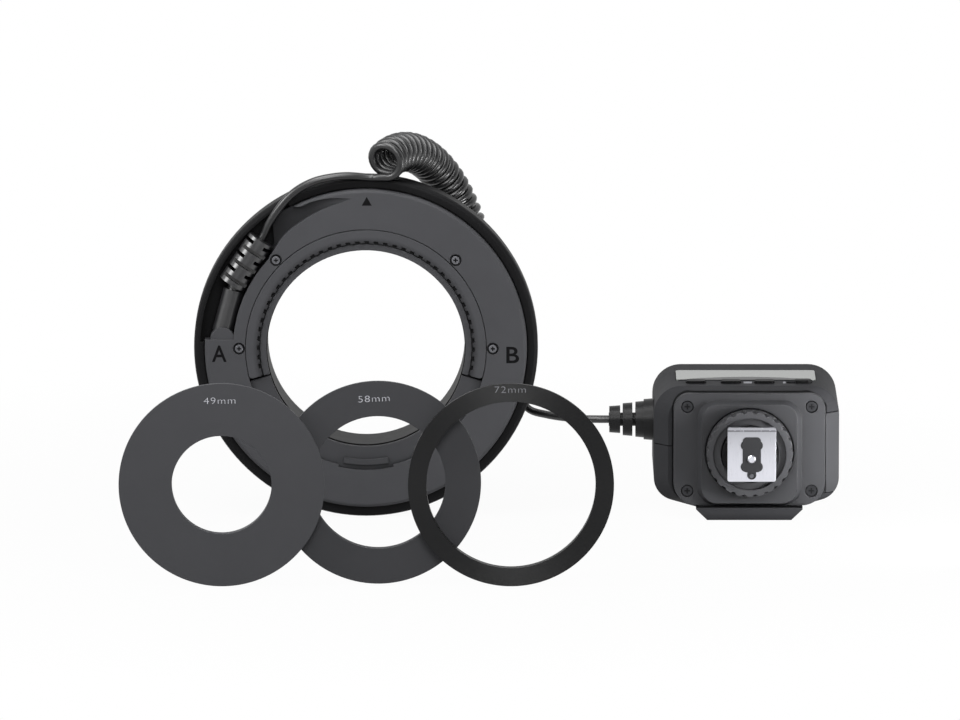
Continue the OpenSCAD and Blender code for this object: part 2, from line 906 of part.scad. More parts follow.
// Main circuit board with the switches under the buttons
module main_board() {
  color(green)
    at_controller() {
      translate([2.5 - side_in, board_y, -52])
        cube([2 * side_in - 5, 1.4, 44]);
      for (x = button_xs)
        translate([x - 2, board_y + 1.3, button_z - 2])
          cube([4, button_y - board_y - 2.3, 4]);
      translate([switch_x - 6, board_y + 1.3, button_z - 2])
        cube([9, button_y - board_y - 1.5, 4]);
    }
}

// Push button on the panel
module push_button(x) {
  color(black)
    at_controller() {
      panel_block(x, button_z, 7.2, 4.5, button_y + 0.3, top_y + 1, 1);
      panel_block(x, button_z, 9.4, 6.7, button_y, button_y + 0.8, 1);
    }
}

// Left button
module left_button() {
  push_button(button_xs[0]);
}

// Middle button
module middle_button() {
  push_button(button_xs[1]);
}

// Right button
module right_button() {
  push_button(button_xs[2]);
}

// Sliding power switch
module power_switch() {
  color(black)
    at_controller() {
      panel_block(switch_x, button_z, 6, 4, button_y + 0.3, top_y + 1.2, 1);
      panel_block(switch_x, button_z, 8, 6, button_y, button_y + 0.8, 1);
    }
}

// Turns the battery door about its pin
module door_swing() {
  translate([hinge_x, 0, hinge_z])
    rotate([0, door_turn, 0])
      translate([-hinge_x, 0, -hinge_z])
        children();
}

// Battery door with its hinge barrel
module battery_door() {
  color(charcoal)
    at_controller()
      door_swing()
        difference() {
          union() {
            intersection() {
              body_wall();
              union() {
                translate([side_in - 12, door_y0, hinge_z + 2.2])
                  cube([20, door_y1 - door_y0, -hinge_z - 5.2]);
                translate([door_x0, door_y0, -3.2])
                  cube([20, door_y1 - door_y0, 5]);
                translate([side_in - 12, barrel_y0, hinge_z + 0.6])
                  cube([20, barrel_y1 - barrel_y0, 2]);
              }
            }
            translate([hinge_x, barrel_y0, hinge_z])
              rotate([-90, 0, 0])
                cylinder(r = barrel_r, h = barrel_y1 - barrel_y0);
          }
          translate([hinge_x, barrel_y0 - 1, hinge_z])
            rotate([-90, 0, 0])
              cylinder(r = 1, h = barrel_y1 - barrel_y0 + 2);
        }
}

// Hinge pin of the battery door
module door_pin() {
  color(silver)
    at_controller()
      translate([hinge_x, barrel_y0 - 3.4, hinge_z])
        rotate([-90, 0, 0])
          cylinder(r = 0.7, h = barrel_y1 - barrel_y0 + 6.8);
}

// Contact strips inside the battery door
module door_contact() {
  color(silver)
    at_controller()
      door_swing()
        for (y = cell_ys)
          translate([cell_x1 + 0.15, y - 3, cell_zs[1] - 4])
            cube([side_in - cell_x1 - 0.15, 6, cell_zs[0] - cell_zs[1] + 8]);
}

// Open box round the cells
module battery_tray() {
  color(black)
    at_controller()
      difference() {
        translate([cell_x0 - 3, tray_y0, -36.9])
          cube([cell_x1 - cell_x0 + 2, 30.8, 30.7]);
        translate([cell_x0 - 2.3, tray_y0 + tray_t, -36.9 + tray_t])
          cube([cell_x1 - cell_x0 + 8, 30.8 - 2 * tray_t, 30.7 - 2 * tray_t]);
      }
}

// Four round cells
module cells() {
  color([0.3, 0.32, 0.36])
    at_controller()
      for (y = cell_ys, z = cell_zs)
        translate([cell_x0, y, z])
          rotate([0, 90, 0]) {
            cylinder(r = cell_r, h = cell_x1 - cell_x0 - 1.4);
            cylinder(r = 2.7, h = cell_x1 - cell_x0);
          }
}

// Contacts at the closed end of the tray
module battery_contacts() {
  color(silver)
    at_controller()
      for (y = cell_ys, z = cell_zs)
        translate([cell_x0 - 2.3, y, z])
          rotate([0, 90, 0]) {
            cylinder(r = 5, h = 0.5);
            cylinder(r1 = 3.6, r2 = 2.4, h = 2.3);
          }
}

// Round capacitor behind the cells
module flash_capacitor() {
  color(black)
    at_controller()
      translate([-26, cap_y, cap_z])
        rotate([0, 90, 0])
          cylinder(r = cap_r, h = 36);
}

// Transformer under the main board
module boost_transformer() {
  color([0.6, 0.5, 0.2])
    at_controller()
      translate([-12, board_y - 11, 6 - ctrl_d])
        cube([16, 11, 12]);
}

// Adapter ring: flange to the viewer, thread collar behind it
module adapter_ring(size, wall, x, ahead) {
  color(black)
    upright()
      translate([x, ring_r - rim_r, ahead])
        rotate_extrude()
          polygon([[size / 2 - wall, 0], [ring_r, 0], [ring_r, -ring_t], [size / 2, -ring_t],
            [size / 2, -ring_t - collar_h], [size / 2 - wall, -ring_t - collar_h]]);
}

// Ring for a 49 mm thread
module adapter_ring_49() {
  adapter_ring(49, collar_wall, -52.9, ring_ahead + ring_step);
}

// Ring for a 58 mm thread
module adapter_ring_58() {
  adapter_ring(58, collar_wall - 2.1, 5.7, ring_ahead);
}

// Ring for a 72 mm thread
module adapter_ring_72() {
  adapter_ring(72, collar_wall - 1.5, 55.5, ring_ahead + ring_step);
}

lamp_housing();
back_cover();
retainer_plate();
release_latch();
latch_springs();
cover_screws();
front_diffuser();
reflector_a();
reflector_b();
flash_tube_a();
flash_tube_b();
tube_holders();
trigger_coils();
head_board();
cord_plug();
head_strain_relief();
lead_cord();
curly_cord();
tail_cord();
cable_boot();
upper_shell();
lower_shell();
base_plate();
base_screws();
lock_wheel();
foot_neck();
shoe_foot();
contact_insert();
centre_contact();
lock_pin();
panel_window();
lcd_module();
main_board();
left_button();
middle_button();
right_button();
power_switch();
battery_door();
door_pin();
door_contact();
battery_tray();
cells();
battery_contacts();
flash_capacitor();
boost_transformer();
adapter_ring_49();
adapter_ring_58();
adapter_ring_72();
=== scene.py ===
import math

import bmesh
import bpy
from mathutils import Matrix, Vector


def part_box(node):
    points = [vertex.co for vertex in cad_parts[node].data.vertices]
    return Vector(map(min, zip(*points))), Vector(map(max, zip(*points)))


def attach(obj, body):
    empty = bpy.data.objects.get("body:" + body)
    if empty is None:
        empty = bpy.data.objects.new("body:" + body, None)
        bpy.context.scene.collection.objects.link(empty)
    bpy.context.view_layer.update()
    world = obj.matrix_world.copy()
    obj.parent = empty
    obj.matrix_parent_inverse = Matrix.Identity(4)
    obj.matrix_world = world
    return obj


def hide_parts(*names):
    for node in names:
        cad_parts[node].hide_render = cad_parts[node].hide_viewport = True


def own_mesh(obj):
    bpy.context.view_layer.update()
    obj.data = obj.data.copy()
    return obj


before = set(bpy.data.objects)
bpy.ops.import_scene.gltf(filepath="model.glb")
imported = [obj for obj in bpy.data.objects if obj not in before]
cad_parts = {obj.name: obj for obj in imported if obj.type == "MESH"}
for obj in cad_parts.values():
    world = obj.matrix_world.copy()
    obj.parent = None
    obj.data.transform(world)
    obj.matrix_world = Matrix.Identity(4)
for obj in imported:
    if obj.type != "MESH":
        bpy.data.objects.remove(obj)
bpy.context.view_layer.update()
mm = 0.001

# Written lengths are in millimetres, as the photographer sees the object: x right, y up, z to the viewer.
# What is read from the frame's boxes is in metres, along the frame's own axes.
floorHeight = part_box("lamp_housing")[0].z
coverFace = -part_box("retainer_plate")[0].y / mm
headMiddle = Vector((0, 0, 0))


def seen(x, y, z):
    return Vector((x, -z, y)) * mm


def middleAndHalf(node):
    low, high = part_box(node)
    return (low + high) / 2, (high - low) / 2


# Camera
photo = {
    "size": (960, 720),
    "headCentre": (366, 347),
    "mmPerPixel": 0.385,
    "distance": 5000,
    "elevation": 10,
    "sensorWidth": 36,
    "farthest": 100000,
}


def makeCamera():
    tilt = math.radians(photo["elevation"])
    right = (photo["size"][0] / 2 - photo["headCentre"][0]) * photo["mmPerPixel"]
    up = (photo["headCentre"][1] - photo["size"][1] / 2) * photo["mmPerPixel"]
    data = bpy.data.cameras.new("photoCamera")
    data.sensor_width = photo["sensorWidth"]
    data.lens = photo["distance"] / photo["mmPerPixel"] / photo["size"][0] * data.sensor_width
    data.clip_end = photo["farthest"] * mm
    camera = bpy.data.objects.new("photoCamera", data)
    bpy.context.collection.objects.link(camera)
    back = Vector((0, -math.cos(tilt), math.sin(tilt)))
    camera.location = seen(right, up / math.cos(tilt), 0) + back * photo["distance"] * mm
    camera.rotation_euler = (math.pi / 2 - tilt, 0, 0)
    bpy.context.scene.camera = camera


makeCamera()
bpy.context.scene.view_settings.view_transform = "Standard"
print("camera done")

# Cord: lead over the rim, curls on a bent axis, tail to the controller
cord = {
    "diameter": 3,
    "curlRadius": 6.3,
    "curls": 19,
    "curlStart": -20,
    "arcMiddle": Vector((23.55, 68.3, -27)),
    "arcOut": Vector((0.031, 0.826, -0.563)).normalized(),
    "arcAlong": Vector((0.485, -0.505, -0.714)).normalized(),
    "arcRadius": 43.56,
    "arcHalf": 48.55,
    "stepsPerCurl": 24,
    "stepsPerPoint": 6,
    "straightIn": 3,
    "straightOut": 2,
    "lead": [(-40.14, 42, 0.2), (-38.8, 44.6, 0.5), (-36.9, 49, 1.6), (-32, 56.3, 3.2), (-26.6, 61.6, 3.7),
             (-20.1, 65.1, 3.8), (-13.3, 66.7, 3.4), (-6.5, 67.1, 2.4)],
    "tail": [(41.5, 36, -33), (44.5, 30, -34), (48, 20, -36), (52.5, 4, -36.5), (55.8, -10, -35),
             (58, -20, -32.4)],
    "intoBoot": [(-31.6, 3, -9), (-23.5, 0.8, -5), (-13, 0, -1.4), (-5, 0, -0.1), (0, 0, 0)],
}


def curlPoint(turn):
    share = turn / cord["curls"]
    bend = math.radians(cord["arcHalf"] * (2 * share - 1))
    angle = math.radians(cord["curlStart"] + 360 * turn)
    outward, along = cord["arcOut"], cord["arcAlong"]
    axis = cord["arcMiddle"] + cord["arcRadius"] * ((math.cos(bend) - 1) * outward + math.sin(bend) * along)
    up = math.cos(bend) * outward + math.sin(bend) * along
    side = along.cross(outward).normalized()
    return axis + cord["curlRadius"] * (math.sin(angle) * side - math.cos(angle) * up)


def smoothed(points, steps):
    route = []
    for i in range(len(points) - 1):
        a, b, c, d = (points[max(min(i + k, len(points) - 1), 0)] for k in (-1, 0, 1, 2))
        for k in range(steps):
            t = k / steps
            route.append(0.5 * (2 * b + (c - a) * t + (2 * a - 5 * b + 4 * c - d) * t * t
                                + (3 * b - a - 3 * c + d) * t ** 3))
    return route + [points[-1]]


def cordRoute():
    stepsPerCurl = cord["stepsPerCurl"]
    curls = [curlPoint(i / stepsPerCurl) for i in range(cord["curls"] * stepsPerCurl + 1)]
    startWay = (curls[1] - curls[0]).normalized()
    endWay = (curls[-1] - curls[-2]).normalized()
    joinIn = curls[0] - cord["diameter"] * startWay
    joinOut = curls[-1] + cord["diameter"] * endWay
    bootLow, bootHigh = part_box("cable_boot")
    bootTip = Vector((bootLow.x / mm, (bootLow.z + bootHigh.z) / 2 / mm, -(bootLow.y + bootHigh.y) / 2 / mm))
    lead = [Vector(p) for p in cord["lead"]] + [joinIn - cord["straightIn"] * startWay, joinIn]
    tail = [joinOut, joinOut + cord["straightOut"] * endWay] + [Vector(p) for p in cord["tail"]]
    tail += [bootTip + Vector(p) for p in cord["intoBoot"]]
    return smoothed(lead, cord["stepsPerPoint"]) + curls + smoothed(tail, cord["stepsPerPoint"])


def makeCord():
    route = [seen(*p) for p in cordRoute()]
    data = bpy.data.curves.new("curlyCord", "CURVE")
    data.dimensions = "3D"
    data.bevel_depth = 1  # the points' radius gives the thickness, and the curve's box grows by it
    data.bevel_resolution = 4
    data.use_fill_caps = True
    spline = data.splines.new("POLY")
    spline.points.add(len(route) - 1)
    for point, place in zip(spline.points, route):
        point.co = (*place, 1)
        point.radius = cord["diameter"] / 2 * mm
    obj = bpy.data.objects.new("curlyCord", data)
    bpy.context.collection.objects.link(obj)
    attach(obj, "flash")
    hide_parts("lead_cord", "curly_cord", "tail_cord")
    return obj


curlyCord = makeCord()


# Shader maths
class Value:
    def __init__(self, look, socket):
        self.look = look
        self.socket = socket

    def math(self, operation, other=0.0, swap=False):
        pair = (other, self) if swap else (self, other)
        return self.look.node("ShaderNodeMath", {"operation": operation}, *pair)

    def __add__(self, other):
        return self.math("ADD", other)

    def __sub__(self, other):
        return self.math("SUBTRACT", other)

    def __rsub__(self, other):
        return self.math("SUBTRACT", other, True)

    def __mul__(self, other):
        return self.math("MULTIPLY", other)

    def __truediv__(self, other):
        return self.math("DIVIDE", other)

    def __gt__(self, other):
        return self.math("GREATER_THAN", other)

    def __lt__(self, other):
        return self.math("LESS_THAN", other)

    def clamped(self, low=0.0, high=1.0):
        return self.math("MINIMUM", high).math("MAXIMUM", low)

    def waves(self, pitch):
        return (self * (2 * math.pi / (pitch * mm))).math("SINE")

    __radd__ = __add__
    __rmul__ = __mul__


class Look:
    def __init__(self, block):
        self.block = block
        block.use_nodes = True
        self.tree = block.node_tree
        self.tree.nodes.clear()

    def node(self, kind, settings, *inputs, out=0, **named):
        made = self.tree.nodes.new(kind)
        for key, value in settings.items():
            setattr(made, key, value)
        pairs = list(enumerate(inputs)) + [(k.replace("_", " "), v) for k, v in named.items()]
        for key, value in pairs:
            if isinstance(value, Value):
                self.tree.links.new(value.socket, made.inputs[key])
            else:
                made.inputs[key].default_value = value
        return Value(self, made.outputs[out])

    def place(self):
        return self.node("ShaderNodeTexCoord", {}, out="Object")

    def axis(self, name):
        return self.node("ShaderNodeSeparateXYZ", {}, self.place(), out=name)

    def facing(self, name):
        normal = self.node("ShaderNodeNewGeometry", {}, out="Normal")
        return self.node("ShaderNodeSeparateXYZ", {}, normal, out=name)

    def noise(self, grain, detail=2.0):
        return self.node("ShaderNodeTexNoise", {}, Vector=self.place(), Scale=1 / (grain * mm), Detail=detail)

    def uneven(self, middle, spread, grain):
        return self.noise(grain) * spread + (middle - spread / 2)

    def patchy(self, level, low, high, grain, detail):
        return self.mix(self.noise(grain, detail), grey(level * low), grey(level * high))

    def radius(self, centre):
        across = self.axis("X") - centre.x
        up = self.axis("Z") - centre.z
        return (across * across + up * up).math("SQRT")

    def mix(self, share, first, second):
        made = self.tree.nodes.new("ShaderNodeMix")
        made.data_type = "RGBA"
        for key, value in (("Factor_Float", share), ("A_Color", first), ("B_Color", second)):
            socket = next(s for s in made.inputs if s.identifier == key)
            if isinstance(value, Value):
                self.tree.links.new(value.socket, socket)
            else:
                socket.default_value = value
        return Value(self, next(s for s in made.outputs if s.identifier == "Result_Color"))

    def bump(self, height, depth, edge=0.0):
        made = self.node("ShaderNodeBump", {}, Distance=depth * mm, Height=height)
        if edge:
            soft = self.node("ShaderNodeBevel", {"samples": 4}, Radius=edge * mm)
            self.tree.links.new(soft.socket, made.socket.node.inputs["Normal"])
        return made

    # Painted shade: ambient occlusion darkens the colour in corners and creases
    def corners(self, reach):
        return self.node("ShaderNodeAmbientOcclusion", {"samples": 6}, Distance=reach * mm, out="AO")

    def rays(self):
        return [self.node("ShaderNodeLightPath", {}, out="Is " + kind + " Ray")
                for kind in ("Camera", "Glossy", "Transmission")]

    def done(self, **named):
        surface = self.node("ShaderNodeBsdfPrincipled", {}, out="BSDF", **named)
        return self.close(surface, "ShaderNodeOutputMaterial")

    def close(self, surface, kind):
        end = self.tree.nodes.new(kind)
        self.tree.links.new(surface.socket, end.inputs["Surface"])
        return self.block


def newLook(name):
    return Look(bpy.data.materials.new(name))


# Greys lean a little to blue
def grey(level):
    green, blue = 1.01, 1.09
    return (level, level * green, level * blue, 1)


# Moulded plastic with a fine grain, softened edges and painted shade darkening its corners
def plastic(name, level, roughness, shine, shade=None, reach=3):
    look = newLook(name)
    cornerShadeShare, shadeShare, grain = 0.2, 0.15, 0.35
    clean = look.patchy(level, low=0.92, high=1.08, grain=9, detail=4)
    colour = look.mix(look.corners(reach), grey(level * cornerShadeShare), clean)
    # Painted shade from the given shade mask
    if shade:
        colour = look.mix(shade(look), colour, grey(level * shadeShare))
    return look.done(Base_Color=colour, Roughness=look.uneven(roughness, spread=0.08, grain=4),
                     Normal=look.bump(look.noise(grain, 3), depth=0.012, edge=0.5), Specular_IOR_Level=shine)


# Painted shade in the seam between the two shells of the controller and in the gap round the base plate
def shellSeamShade(look):
    seamHalf, plateGap, reachBehind = 0.2 * mm, 0.6 * mm, 2 * mm
    lowCorner, highCorner = 9, 6
    between = (look.axis("Z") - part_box("lower_shell")[1].z).math("ABSOLUTE") < seamHalf
    centre, half = middleAndHalf("base_plate")
    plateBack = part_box("base_plate")[1].y
    up = look.axis("Z") - centre.z
    corner = (lowCorner - (up > 0) * (lowCorner - highCorner)) * mm
    across = ((look.axis("X") - centre.x).math("ABSOLUTE") - half.x + corner).math("MAXIMUM", 0.0)
    along = (up.math("ABSOLUTE") - half.z + corner).math("MAXIMUM", 0.0)
    outside = (across * across + along * along).math("SQRT") - corner
    roundPlate = (outside < plateGap) * (look.axis("Y") < plateBack + reachBehind)
    return between.math("MAXIMUM", roundPlate)


# Painted shade in the seam round the retainer plate, and painted shade deepening where the cover sinks round
# the cord
def plateSeamShade(look):
    seamHalf, fullDepth, darkest = 0.3 * mm, 4 * mm, 0.7
    low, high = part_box("retainer_plate")
    beside = (look.radius(headMiddle) - high.x).math("ABSOLUTE") < seamHalf
    seam = beside * (look.axis("Z") > low.z)
    sunk = (look.axis("Y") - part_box("back_cover")[0].y) / fullDepth
    return seam.math("MAXIMUM", sunk.clamped() * darkest)


# Shadowed inner edge of the retainer plate, along its notches
def notchShade(look):
    clearEdge, shadeWidth, darkest = 2.6 * mm, 2.6 * mm, 0.75
    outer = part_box("retainer_plate")[1].x
    depth = (outer - clearEdge - look.radius(headMiddle)) / shadeWidth
    return depth.clamped() * darkest


# Soft rubber and cord sleeve, faintly dusty, with painted shade darkening its corners
def rubber(name, level, roughness, shine):
    look = newLook(name)
    cornerShadeShare = 0.2
    dusty = look.patchy(level, low=0.8, high=1.3, grain=6, detail=4)
    colour = look.mix(look.corners(reach=2), grey(level * cornerShadeShare), dusty)
    return look.done(Base_Color=colour, Roughness=look.uneven(roughness, spread=0.1, grain=3),
                     Specular_IOR_Level=shine)


# Metal with a drawn grain along z. When given a top level it is the foot: painted shade darkens it towards
# its top, and a broken dark line runs near its top
def metal(name, level, roughness, topLevel=None):
    look = newLook(name)
    grainAcross, grainAlong, sheenSpread = 0.2, 6, 0.16
    darkShare, lightShare = 0.9, 1.1
    stretched = look.node("ShaderNodeMapping", {}, look.place(), Scale=(1 / grainAcross, 1, 1 / grainAlong))
    scratch = look.node("ShaderNodeTexNoise", {}, Vector=stretched, Scale=1 / mm, Detail=3.0)
    colour = look.mix(scratch, grey(level * darkShare), grey(level * lightShare))
    if topLevel:
        lineAt, lineHalf, lineLevel, lineGrain, lineBreakFrom = 0.94, 0.015, 0.2, 0.8, 0.4
        low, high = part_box("shoe_foot")
        share = (look.axis("Z") - low.z) / (high.z - low.z)
        darkLine = ((share - lineAt).math("ABSOLUTE") < lineHalf) * (look.noise(lineGrain) > lineBreakFrom)
        # Painted shade, darker towards the top
        colour = look.mix(share.math("POWER", 2.0), colour, grey(topLevel))
        colour = look.mix(darkLine, colour, grey(lineLevel))
    return look.done(Base_Color=colour, Metallic=1.0,
                     Roughness=scratch * sheenSpread + (roughness - sheenSpread / 2),
                     Normal=look.bump(scratch, depth=0.006, edge=0.15))


# Anodised adapter ring: turned face, fine thread on the collar
def ringFinish(node, level, roughness, shine, turned):
    look = newLook(node + "Finish")
    threadPitch, turningPitch, sideLimit, grain, grainShare = 0.75, 0.25, 0.3, 0.22, 0.04
    thread = look.axis("Y").waves(threadPitch)
    turning = look.radius(middleAndHalf(node)[0]).waves(turningPitch)
    onSide = look.facing("Y").math("ABSOLUTE") < sideLimit
    height = thread * onSide + turning * turned * (1 - onSide) + look.noise(grain) * grainShare
    colour = look.patchy(level, low=0.94, high=1.06, grain=14, detail=3)
    return look.done(Base_Color=colour, Roughness=look.uneven(roughness, spread=0.08, grain=0.3),
                     Normal=look.bump(height, depth=0.1, edge=0.2), Specular_IOR_Level=shine)


# Window over the display: grey pane with a dark crescent of painted shade along its near edge
def windowFinish():
    look = newLook("panelGloss")
    paneColour, crescentShadeLevel, crescentHeight = (0.12, 0.13, 0.12, 1), 0.015, 0.3
    paneRoughness, crescentRougher = 0.08, 0.3
    centre, half = middleAndHalf("panel_window")
    across = (look.axis("X") - centre.x) / half.x
    fromNear = (look.axis("Y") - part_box("panel_window")[0].y) / (2 * half.y)
    crescent = fromNear < (1 - across * across) * crescentHeight
    colour = look.mix(crescent, paneColour, grey(crescentShadeLevel))
    return look.done(Base_Color=colour, Roughness=crescent * crescentRougher + paneRoughness,
                     Specular_IOR_Level=0.4)


# Display with a border and rows of dark segments
def displayFinish():
    look = newLook("displayGrey")
    columnWaves, columnFrom, rowWaves, rowFrom = 26, 0.2, 9, 0.5
    fieldReach, borderFrom, borderLevel = 0.7, 0.85, 0.05
    paleGreen, segmentColour = (0.22, 0.25, 0.19, 1), (0.03, 0.035, 0.03, 1)
    centre, half = middleAndHalf("lcd_module")
    across = (look.axis("X") - centre.x) / half.x
    along = (look.axis("Y") - centre.y) / half.y
    columns = (across * columnWaves).math("SINE") > columnFrom
    rows = (along * rowWaves).math("SINE") > rowFrom
    inside = (across.math("ABSOLUTE") < fieldReach) * (along.math("ABSOLUTE") < fieldReach)
    pane = look.mix(columns * rows * inside, paleGreen, segmentColour)
    border = across.math("ABSOLUTE").math("MAXIMUM", along.math("ABSOLUTE")) > borderFrom
    return look.done(Base_Color=look.mix(border, pane, grey(borderLevel)),
                     Roughness=look.uneven(0.18, spread=0.06, grain=3))


# Ribbed clear window of the lamp
def diffuserFinish():
    look = newLook("diffuserClear")
    ribPitch, patchGrain = 0.9, 12
    dull, clear = (0.9, 0.92, 0.94, 1), (0.95, 0.96, 0.97, 1)
    ribs = look.radius(headMiddle).waves(ribPitch)
    colour = look.mix(look.noise(patchGrain), dull, clear)
    return look.done(Base_Color=colour, Roughness=0.12, Transmission_Weight=0.85, IOR=1.45,
                     Normal=look.bump(ribs, depth=0.12))


# Tube glass, slightly clouded
def glass():
    look = newLook("tubeGlass")
    return look.done(Base_Color=(0.95, 0.97, 1, 1), Roughness=look.uneven(0.05, spread=0.06, grain=3),
                     Transmission_Weight=0.8, IOR=1.45)


# Circuit board: green lacquer with lighter tracks
def boardFinish():
    look = newLook("boardGreen")
    lacquer, overCopper, trackFrom = (0.015, 0.075, 0.035, 1), (0.035, 0.13, 0.06, 1), 0.7
    wave = look.node("ShaderNodeTexWave", {"bands_direction": "DIAGONAL"}, Vector=look.place(), Scale=180.0,
                     Distortion=6.0, Detail=1.0, out="Fac")
    tracks = wave > trackFrom
    return look.done(Base_Color=look.mix(tracks, lacquer, overCopper),
                     Roughness=look.uneven(0.35, spread=0.1, grain=4), Normal=look.bump(tracks, depth=0.03))


# Wound copper: fine turns, with a painted highlight on each turn's crest and painted shade between the turns
def windingFinish():
    look = newLook("coilCopper")
    wirePitch = 0.4
    between, litCrest = (0.2, 0.08, 0.025, 1), (0.4, 0.18, 0.06, 1)
    turns = look.axis("Z").waves(wirePitch) * 0.5 + 0.5
    return look.done(Base_Color=look.mix(turns, between, litCrest),
                     Roughness=look.uneven(0.35, spread=0.1, grain=3), Normal=look.bump(turns, depth=0.08))


# Round cells: dark sleeve, pale band, bare ends
def cellFinish():
    look = newLook("cellSleeve")
    bandFrom, bandTo, endShare, endMetal = 0.2, 0.27, 0.03, 0.9
    sleeveLevel, endLevel, bandColour = 0.03, 0.5, (0.3, 0.32, 0.34, 1)
    low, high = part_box("cells")
    share = (look.axis("X") - low.x) / (high.x - low.x)
    band = (share > bandFrom) * (share < bandTo)
    ends = (share < endShare).math("MAXIMUM", share > 1 - endShare)
    sleeve = look.mix(band, grey(sleeveLevel), bandColour)
    return look.done(Base_Color=look.mix(ends, sleeve, grey(endLevel)), Metallic=ends * endMetal,
                     Roughness=look.uneven(0.33, spread=0.1, grain=3))


# Printing ink, slightly worn
def ink(name, level):
    look = newLook(name)
    colour = look.patchy(level, low=0.85, high=1.1, grain=0.6, detail=3)
    return look.done(Base_Color=colour, Roughness=0.6, Specular_IOR_Level=0.05)


# reach: how far the painted corner shade reaches, in millimetres
plastics = {
    "coverGrey": {"level": 0.047, "roughness": 0.5, "shine": 0.12, "shade": plateSeamShade, "reach": 5},
    "plateGrey": {"level": 0.049, "roughness": 0.5, "shine": 0.12, "shade": notchShade},
    "latchGrey": {"level": 0.038, "roughness": 0.5, "shine": 0.12},
    "rimBlack": {"level": 0.006, "roughness": 0.5, "shine": 0.08},
    "shellGrey": {"level": 0.027, "roughness": 0.6, "shine": 0.04, "shade": shellSeamShade},
    "baseGrey": {"level": 0.034, "roughness": 0.4, "shine": 0.18, "reach": 7},
    "wheelGrey": {"level": 0.04, "roughness": 0.36, "shine": 0.3, "reach": 0.8},
    "deepBlack": {"level": 0.005, "roughness": 0.5, "shine": 0.1},
    "insertGrey": {"level": 0.021, "roughness": 0.5, "shine": 0.12},
}
rubbers = {
    "cordBlack": {"level": 0.006, "roughness": 0.33, "shine": 0.6},
    "bootBlack": {"level": 0.006, "roughness": 0.4, "shine": 0.2},
    "plugBlack": {"level": 0.013, "roughness": 0.3, "shine": 0.9},
}
metals = {
    "steel": {"level": 0.16, "roughness": 0.4},
    "blackSteel": {"level": 0.045, "roughness": 0.4},
    "footMetal": {"level": 0.74, "roughness": 0.3, "topLevel": 0.42},
    "contactMetal": {"level": 0.75, "roughness": 0.25},
    "reflector": {"level": 0.88, "roughness": 0.16},
}
rings = {
    "ring49": {"node": "adapter_ring_49", "level": 0.059, "roughness": 0.5, "shine": 0.15, "turned": 0.05},
    "ring58": {"node": "adapter_ring_58", "level": 0.047, "roughness": 0.5, "shine": 0.15, "turned": 0.05},
    "ring72": {"node": "adapter_ring_72", "level": 0.006, "roughness": 0.35, "shine": 0.25, "turned": 0.18},
}
# The black ink prints the cover's letters and arrow, and also paints the shade in the screws' cross recesses
inks = {"inkPale": 0.5, "inkGrey": 0.25, "inkAndShadeBlack": 0.004}

looks = {
    "panelGloss": windowFinish(),
    "displayGrey": displayFinish(),
    "diffuserClear": diffuserFinish(),
    "tubeGlass": glass(),
    "boardGreen": boardFinish(),
    "coilCopper": windingFinish(),
    "cellSleeve": cellFinish(),
}
for make, table in ((plastic, plastics), (rubber, rubbers), (metal, metals)):
    looks.update({name: make(name, **values) for name, values in table.items()})
looks.update({name: ringFinish(**values) for name, values in rings.items()})
looks.update({name: ink(name, level) for name, level in inks.items()})

finishes = {
    "coverGrey": ["back_cover"],
    "plateGrey": ["retainer_plate"],
    "latchGrey": ["release_latch"],
    "rimBlack": ["lamp_housing"],
    "shellGrey": ["upper_shell", "lower_shell"],
    "baseGrey": ["base_plate", "battery_door"],
    "wheelGrey": ["lock_wheel"],
    "deepBlack": ["foot_neck", "left_button", "middle_button", "right_button", "power_switch", "battery_tray",
                  "flash_capacitor"],
    "insertGrey": ["contact_insert"],
    "plugBlack": ["cord_plug", "head_strain_relief"],
    "bootBlack": ["cable_boot", "tube_holders"],
    "steel": ["cover_screws", "door_pin", "lock_pin"],
    "blackSteel": ["base_screws"],
    "footMetal": ["shoe_foot"],
    "contactMetal": ["centre_contact", "door_contact", "battery_contacts"],
    "reflector": ["reflector_a", "reflector_b"],
    "ring49": ["adapter_ring_49"],
    "ring58": ["adapter_ring_58"],
    "ring72": ["adapter_ring_72"],
    "panelGloss": ["panel_window"],
    "displayGrey": ["lcd_module"],
    "diffuserClear": ["front_diffuser"],
    "tubeGlass": ["flash_tube_a", "flash_tube_b"],
    "boardGreen": ["head_board", "main_board"],
    "coilCopper": ["trigger_coils", "boost_transformer"],
    "cellSleeve": ["cells"],
}


def paintFrame():
    for name, nodes in finishes.items():
        for node in nodes:
            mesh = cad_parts[node].data
            mesh.materials.clear()
            mesh.materials.append(looks[name])


paintFrame()
curlyCord.data.materials.append(looks["cordBlack"])
print("materials done")


# Finished pieces beside the frame
def addPiece(name, mesh, look, body):
    mesh.materials.append(looks[look])
    obj = bpy.data.objects.new(name, mesh)
    bpy.context.collection.objects.link(obj)
    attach(obj, body)
    return obj


# Latch springs: two wound wires in the space of the drawn springs
springs = {
    "places": (-16, 16),
    "turns": 6,
    "wire": 0.5,
    "stepsPerTurn": 16,
    "sides": 8,
    "travel": 1.5,
}


